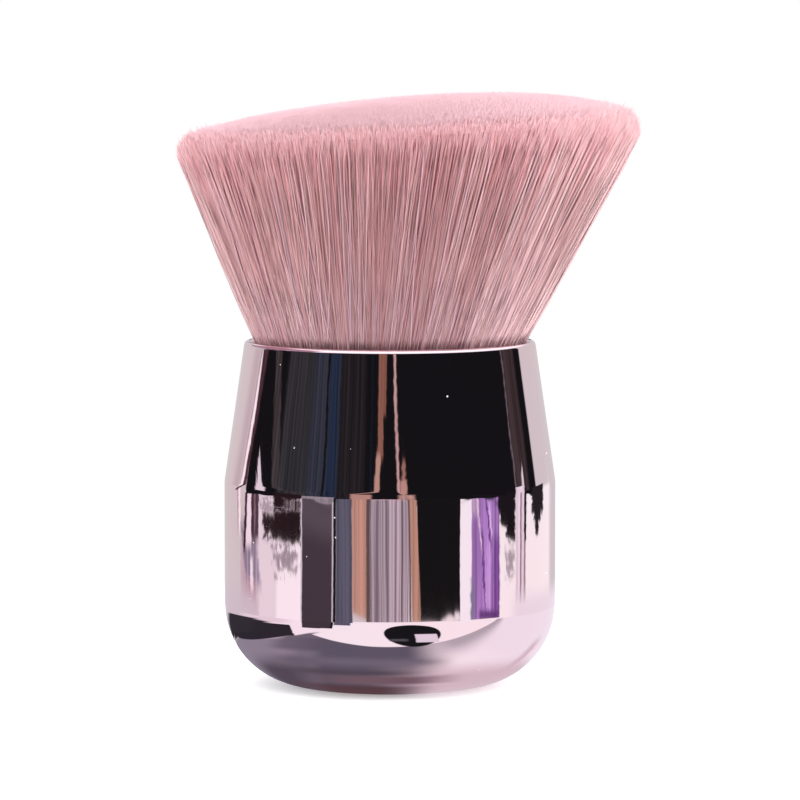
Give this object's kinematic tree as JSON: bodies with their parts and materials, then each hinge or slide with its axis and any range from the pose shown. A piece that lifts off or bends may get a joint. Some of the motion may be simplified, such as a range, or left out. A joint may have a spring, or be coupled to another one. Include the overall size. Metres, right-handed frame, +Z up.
{
  "type": "powder brush",
  "caption": "Short powder brush with a dense, flared, domed head of soft pink bristles on a weighted, mirror-plated rose handle that stands on its flat base.",
  "frame": {"origin": "middle of the flat base, on the handle's axis", "axes": "+Z up along the handle's axis to the bristles; the head leans towards +X; +Y is away from the pictured side"},
  "size_m": [0.0645, 0.06, 0.0823],
  "materials": {
    "plated_shell": "rose-pink mirror plating over moulded plastic, with fine dust and hairline marks",
    "foam": "soft closed-cell foam",
    "weight_steel": "turned steel",
    "core_plastic": "moulded natural plastic",
    "ferrule_metal": "drawn, rose-tinted aluminium",
    "resin": "cast resin",
    "thread": "waxed thread, close wound",
    "bristles": "fine soft synthetic bristles, pale pink at the tips and duller towards the root"
  },
  "bodies": {
    "root": {"handle_shell": "plated_shell", "weight_pad": "foam", "counterweight": "weight_steel", "inner_core": "core_plastic", "ferrule_cup": "ferrule_metal", "root_potting": "resin", "binding_band": "thread", "bristle_tuft": "bristles"}
  },
  "joints": []
}
